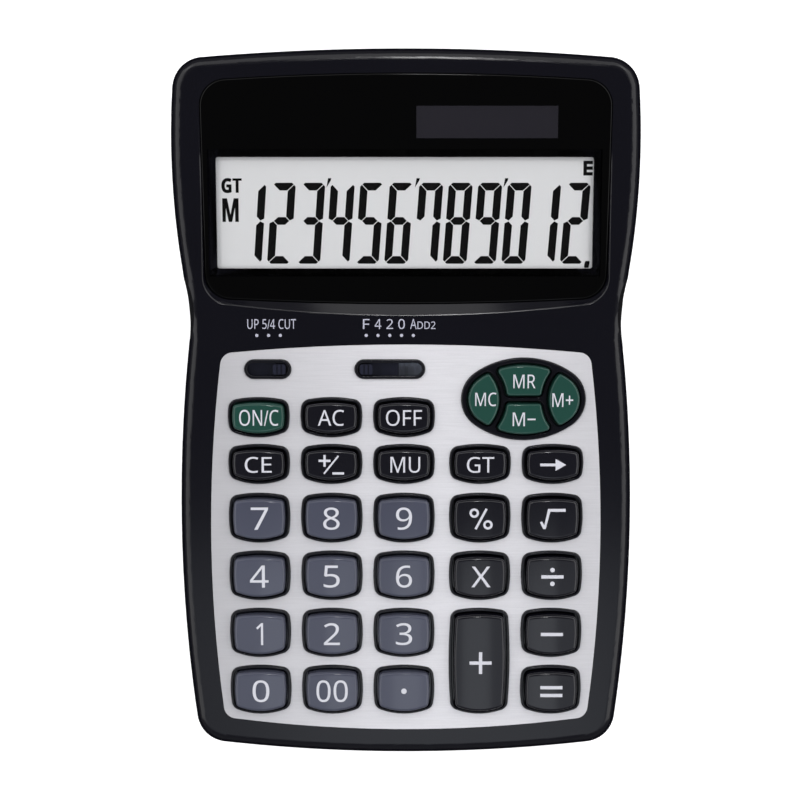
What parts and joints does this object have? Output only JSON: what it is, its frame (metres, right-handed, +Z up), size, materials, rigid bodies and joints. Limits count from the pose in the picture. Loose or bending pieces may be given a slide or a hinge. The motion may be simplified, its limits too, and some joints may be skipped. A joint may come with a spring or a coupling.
{
  "type": "desk calculator",
  "caption": "Desk calculator with a sloping keypad deck, metal faceplate, figure and function keys, memory oval, slide switches and a fixed display head with light cell",
  "frame": {"origin": "middle of the overall footprint on the table plane, where the rubber feet stand", "axes": "+X to the right as seen by the user, +Y from the keypad's front edge to the display end, +Z up"},
  "size_m": [0.1248, 0.1896, 0.0325],
  "materials": {
    "case_gloss_black": "polished black moulding",
    "base_matt_black": "fine spark-eroded texture",
    "satin_metal": "satin anodised sheet with fine grain along its length",
    "lens_black": "clear window printed gloss black behind, clear fields",
    "panel_glass": "grey-white reflective liquid crystal",
    "retainer_plastic": "matt moulding",
    "ribbon_foil": "amber film",
    "light_cell": "dark cell behind smoky window",
    "mat_rubber": "grey silicone",
    "board": "pale blue-grey lacquer over tracks",
    "chip_resin": "black resin drop",
    "screw_steel": "zinc plated",
    "foot_rubber": "soft black rubber",
    "cell_steel": "plain steel can",
    "contact_steel": "sprung strip",
    "lead_red": "insulated wire",
    "lead_black": "insulated wire",
    "key_slate": "satin slate grey",
    "key_black": "satin black",
    "key_green": "satin dark green",
    "switch_black": "satin black",
    "legend_print": "pale grey printing ink",
    "crystal_black": "dark liquid crystal bars"
  },
  "bodies": {
    "case": {"top_case": "case_gloss_black", "bottom_case": "base_matt_black", "faceplate": "satin_metal", "display_lens": "lens_black", "display_panel": "panel_glass", "panel_retainer": "retainer_plastic", "panel_ribbon": "ribbon_foil", "light_cell": "light_cell", "key_mat": "mat_rubber", "main_board": "board", "controller_chip": "chip_resin", "board_screws": "screw_steel", "retainer_screws": "screw_steel", "case_screws": "screw_steel", "cover_screw": "screw_steel", "rubber_feet": "foot_rubber", "button_cell": "cell_steel", "positive_contact": "contact_steel", "negative_contact": "contact_steel", "battery_cover": "base_matt_black", "battery_leads": "lead_red", "cell_leads": "lead_black"},
    "rounding_switch": {"rounding_switch": "switch_black", "rounding_wiper": "contact_steel"},
    "decimal_switch": {"decimal_switch": "switch_black", "decimal_wiper": "contact_steel"},
    "key_0": {"key_0": "key_slate"},
    "key_1": {"key_1": "key_slate"},
    "key_2": {"key_2": "key_slate"},
    "key_3": {"key_3": "key_slate"},
    "key_4": {"key_4": "key_slate"},
    "key_5": {"key_5": "key_slate"},
    "key_6": {"key_6": "key_slate"},
    "key_7": {"key_7": "key_slate"},
    "key_8": {"key_8": "key_slate"},
    "key_9": {"key_9": "key_slate"},
    "key_double_zero": {"key_double_zero": "key_slate"},
    "key_point": {"key_point": "key_slate"},
    "key_multiply": {"key_multiply": "key_black"},
    "key_percent": {"key_percent": "key_black"},
    "key_equals": {"key_equals": "key_black"},
    "key_minus": {"key_minus": "key_black"},
    "key_divide": {"key_divide": "key_black"},
    "key_root": {"key_root": "key_black"},
    "key_plus": {"key_plus": "key_black"},
    "key_clear_entry": {"key_clear_entry": "key_black"},
    "key_sign": {"key_sign": "key_black"},
    "key_mark_up": {"key_mark_up": "key_black"},
    "key_grand_total": {"key_grand_total": "key_black"},
    "key_backspace": {"key_backspace": "key_black"},
    "key_all_clear": {"key_all_clear": "key_black"},
    "key_off": {"key_off": "key_black"},
    "key_on_clear": {"key_on_clear": "key_green"},
    "key_memory_clear": {"key_memory_clear": "key_green"},
    "key_memory_recall": {"key_memory_recall": "key_green"},
    "key_memory_plus": {"key_memory_plus": "key_green"},
    "key_memory_minus": {"key_memory_minus": "key_green"}
  },
  "joints": [
    {"name": "rounding_slide", "type": "slide", "parent": "case", "child": "rounding_switch", "axis": [1, 0, 0], "range_m": [-0.0063, 0]},
    {"name": "decimal_slide", "type": "slide", "parent": "case", "child": "decimal_switch", "axis": [1, 0, 0], "range_m": [0, 0.0126]},
    {"name": "press_0", "type": "slide", "parent": "case", "child": "key_0", "axis": [0, -0.0958, 0.9954], "range_m": [-0.0015, 0], "stiffness_N_per_m": 350, "springref_m": 0.0008, "deforming": ["key_mat"]},
    {"name": "press_1", "type": "slide", "parent": "case", "child": "key_1", "axis": [0, -0.0958, 0.9954], "range_m": [-0.0015, 0], "stiffness_N_per_m": 350, "springref_m": 0.0008, "deforming": ["key_mat"]},
    {"name": "press_2", "type": "slide", "parent": "case", "child": "key_2", "axis": [0, -0.0958, 0.9954], "range_m": [-0.0015, 0], "stiffness_N_per_m": 350, "springref_m": 0.0008, "deforming": ["key_mat"]},
    {"name": "press_3", "type": "slide", "parent": "case", "child": "key_3", "axis": [0, -0.0958, 0.9954], "range_m": [-0.0015, 0], "stiffness_N_per_m": 350, "springref_m": 0.0008, "deforming": ["key_mat"]},
    {"name": "press_4", "type": "slide", "parent": "case", "child": "key_4", "axis": [0, -0.0958, 0.9954], "range_m": [-0.0015, 0], "stiffness_N_per_m": 350, "springref_m": 0.0008, "deforming": ["key_mat"]},
    {"name": "press_5", "type": "slide", "parent": "case", "child": "key_5", "axis": [0, -0.0958, 0.9954], "range_m": [-0.0015, 0], "stiffness_N_per_m": 350, "springref_m": 0.0008, "deforming": ["key_mat"]},
    {"name": "press_6", "type": "slide", "parent": "case", "child": "key_6", "axis": [0, -0.0958, 0.9954], "range_m": [-0.0015, 0], "stiffness_N_per_m": 350, "springref_m": 0.0008, "deforming": ["key_mat"]},
    {"name": "press_7", "type": "slide", "parent": "case", "child": "key_7", "axis": [0, -0.0958, 0.9954], "range_m": [-0.0015, 0], "stiffness_N_per_m": 350, "springref_m": 0.0008, "deforming": ["key_mat"]},
    {"name": "press_8", "type": "slide", "parent": "case", "child": "key_8", "axis": [0, -0.0958, 0.9954], "range_m": [-0.0015, 0], "stiffness_N_per_m": 350, "springref_m": 0.0008, "deforming": ["key_mat"]},
    {"name": "press_9", "type": "slide", "parent": "case", "child": "key_9", "axis": [0, -0.0958, 0.9954], "range_m": [-0.0015, 0], "stiffness_N_per_m": 350, "springref_m": 0.0008, "deforming": ["key_mat"]},
    {"name": "press_double_zero", "type": "slide", "parent": "case", "child": "key_double_zero", "axis": [0, -0.0958, 0.9954], "range_m": [-0.0015, 0], "stiffness_N_per_m": 350, "springref_m": 0.0008, "deforming": ["key_mat"]},
    {"name": "press_point", "type": "slide", "parent": "case", "child": "key_point", "axis": [0, -0.0958, 0.9954], "range_m": [-0.0015, 0], "stiffness_N_per_m": 350, "springref_m": 0.0008, "deforming": ["key_mat"]},
    {"name": "press_multiply", "type": "slide", "parent": "case", "child": "key_multiply", "axis": [0, -0.0958, 0.9954], "range_m": [-0.0015, 0], "stiffness_N_per_m": 350, "springref_m": 0.0008, "deforming": ["key_mat"]},
    {"name": "press_percent", "type": "slide", "parent": "case", "child": "key_percent", "axis": [0, -0.0958, 0.9954], "range_m": [-0.0015, 0], "stiffness_N_per_m": 350, "springref_m": 0.0008, "deforming": ["key_mat"]},
    {"name": "press_equals", "type": "slide", "parent": "case", "child": "key_equals", "axis": [0, -0.0958, 0.9954], "range_m": [-0.0015, 0], "stiffness_N_per_m": 350, "springref_m": 0.0008, "deforming": ["key_mat"]},
    {"name": "press_minus", "type": "slide", "parent": "case", "child": "key_minus", "axis": [0, -0.0958, 0.9954], "range_m": [-0.0015, 0], "stiffness_N_per_m": 350, "springref_m": 0.0008, "deforming": ["key_mat"]},
    {"name": "press_divide", "type": "slide", "parent": "case", "child": "key_divide", "axis": [0, -0.0958, 0.9954], "range_m": [-0.0015, 0], "stiffness_N_per_m": 350, "springref_m": 0.0008, "deforming": ["key_mat"]},
    {"name": "press_root", "type": "slide", "parent": "case", "child": "key_root", "axis": [0, -0.0958, 0.9954], "range_m": [-0.0015, 0], "stiffness_N_per_m": 350, "springref_m": 0.0008, "deforming": ["key_mat"]},
    {"name": "press_plus", "type": "slide", "parent": "case", "child": "key_plus", "axis": [0, -0.0958, 0.9954], "range_m": [-0.0015, 0], "stiffness_N_per_m": 350, "springref_m": 0.0008, "deforming": ["key_mat"]},
    {"name": "press_clear_entry", "type": "slide", "parent": "case", "child": "key_clear_entry", "axis": [0, -0.0958, 0.9954], "range_m": [-0.0015, 0], "stiffness_N_per_m": 350, "springref_m": 0.0008, "deforming": ["key_mat"]},
    {"name": "press_sign", "type": "slide", "parent": "case", "child": "key_sign", "axis": [0, -0.0958, 0.9954], "range_m": [-0.0015, 0], "stiffness_N_per_m": 350, "springref_m": 0.0008, "deforming": ["key_mat"]},
    {"name": "press_mark_up", "type": "slide", "parent": "case", "child": "key_mark_up", "axis": [0, -0.0958, 0.9954], "range_m": [-0.0015, 0], "stiffness_N_per_m": 350, "springref_m": 0.0008, "deforming": ["key_mat"]},
    {"name": "press_grand_total", "type": "slide", "parent": "case", "child": "key_grand_total", "axis": [0, -0.0958, 0.9954], "range_m": [-0.0015, 0], "stiffness_N_per_m": 350, "springref_m": 0.0008, "deforming": ["key_mat"]},
    {"name": "press_backspace", "type": "slide", "parent": "case", "child": "key_backspace", "axis": [0, -0.0958, 0.9954], "range_m": [-0.0015, 0], "stiffness_N_per_m": 350, "springref_m": 0.0008, "deforming": ["key_mat"]},
    {"name": "press_all_clear", "type": "slide", "parent": "case", "child": "key_all_clear", "axis": [0, -0.0958, 0.9954], "range_m": [-0.0015, 0], "stiffness_N_per_m": 350, "springref_m": 0.0008, "deforming": ["key_mat"]},
    {"name": "press_off", "type": "slide", "parent": "case", "child": "key_off", "axis": [0, -0.0958, 0.9954], "range_m": [-0.0015, 0], "stiffness_N_per_m": 350, "springref_m": 0.0008, "deforming": ["key_mat"]},
    {"name": "press_on_clear", "type": "slide", "parent": "case", "child": "key_on_clear", "axis": [0, -0.0958, 0.9954], "range_m": [-0.0015, 0], "stiffness_N_per_m": 350, "springref_m": 0.0008, "deforming": ["key_mat"]},
    {"name": "press_memory_clear", "type": "slide", "parent": "case", "child": "key_memory_clear", "axis": [0, -0.0958, 0.9954], "range_m": [-0.0015, 0], "stiffness_N_per_m": 350, "springref_m": 0.0008, "deforming": ["key_mat"]},
    {"name": "press_memory_recall", "type": "slide", "parent": "case", "child": "key_memory_recall", "axis": [0, -0.0958, 0.9954], "range_m": [-0.0015, 0], "stiffness_N_per_m": 350, "springref_m": 0.0008, "deforming": ["key_mat"]},
    {"name": "press_memory_plus", "type": "slide", "parent": "case", "child": "key_memory_plus", "axis": [0, -0.0958, 0.9954], "range_m": [-0.0015, 0], "stiffness_N_per_m": 350, "springref_m": 0.0008, "deforming": ["key_mat"]},
    {"name": "press_memory_minus", "type": "slide", "parent": "case", "child": "key_memory_minus", "axis": [0, -0.0958, 0.9954], "range_m": [-0.0015, 0], "stiffness_N_per_m": 350, "springref_m": 0.0008, "deforming": ["key_mat"]}
  ]
}
